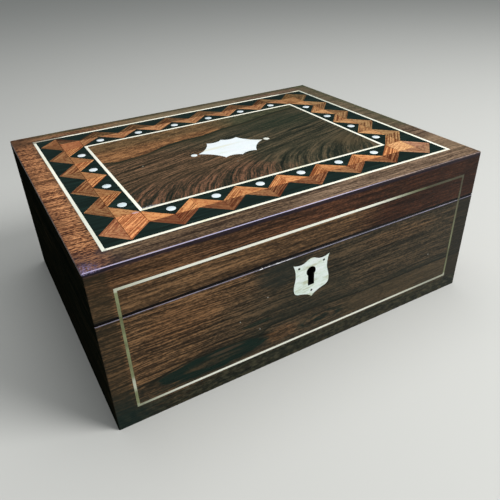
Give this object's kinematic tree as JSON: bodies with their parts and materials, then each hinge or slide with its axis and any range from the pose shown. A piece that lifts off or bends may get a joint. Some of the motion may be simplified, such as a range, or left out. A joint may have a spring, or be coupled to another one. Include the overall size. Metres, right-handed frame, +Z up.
{
  "type": "wooden box",
  "caption": "Rectangular veneered box with a hinged lid, a zigzag marquetry band, white metal strings, pearl inlay and a front lock with a shield escutcheon.",
  "frame": {"origin": "centre of the flat underside", "axes": "+X along the front from left to right, +Y from the front to the back, +Z up"},
  "size_m": [0.3, 0.2362, 0.121],
  "materials": {
    "rosewood": "polished brown rosewood veneer with dark grain",
    "figured_rosewood": "polished figured rosewood, dark slanting figure",
    "carcass_wood": "plain unpolished carcass wood",
    "ebony": "polished black ebony",
    "tulipwood": "polished orange-brown striped veneer",
    "white_metal": "soft polished white metal, slightly dulled",
    "pearl": "polished mother-of-pearl",
    "brass": "dulled brass",
    "steel": "darkened steel pins"
  },
  "bodies": {
    "base": {"base_front_board": "rosewood", "base_back_board": "rosewood", "base_left_board": "rosewood", "base_right_board": "rosewood", "bottom_board": "carcass_wood", "base_front_string": "white_metal", "escutcheon": "pearl", "escutcheon_pin_left": "steel", "escutcheon_pin_right": "steel", "escutcheon_pin_lower": "steel", "box_lock": "brass", "hinge_left_base_leaf": "brass", "hinge_right_base_leaf": "brass", "hinge_left_pin": "brass", "hinge_right_pin": "brass"},
    "lid": {"lid_front_rail": "rosewood", "lid_back_rail": "rosewood", "lid_left_rail": "rosewood", "lid_right_rail": "rosewood", "lid_top_board": "carcass_wood", "top_border_veneer": "rosewood", "lid_front_string": "white_metal", "outer_string": "white_metal", "inner_string": "white_metal", "outer_ebony_band": "ebony", "zigzag_band": "tulipwood", "inner_ebony_band": "ebony", "centre_panel": "figured_rosewood", "cartouche": "pearl", "cartouche_dot_left": "pearl", "cartouche_dot_right": "pearl", "lock_link_plate": "brass", "hinge_left_lid_leaf": "brass", "hinge_right_lid_leaf": "brass", "pearl_dot_front_1": "pearl", "pearl_dot_front_2": "pearl", "pearl_dot_front_3": "pearl", "pearl_dot_front_4": "pearl", "pearl_dot_front_5": "pearl", "pearl_dot_front_6": "pearl", "pearl_dot_right_1": "pearl", "pearl_dot_right_2": "pearl", "pearl_dot_right_3": "pearl", "pearl_dot_right_4": "pearl", "pearl_dot_back_1": "pearl", "pearl_dot_back_2": "pearl", "pearl_dot_back_3": "pearl", "pearl_dot_back_4": "pearl", "pearl_dot_back_5": "pearl", "pearl_dot_back_6": "pearl", "pearl_dot_left_1": "pearl", "pearl_dot_left_2": "pearl", "pearl_dot_left_3": "pearl", "pearl_dot_left_4": "pearl"}
  },
  "joints": [
    {"name": "lid_hinge", "type": "hinge", "parent": "base", "child": "lid", "pos_m": [0, 0.1173, 0.08595], "axis": [-1, 0, 0], "range_deg": [0, 95]}
  ]
}
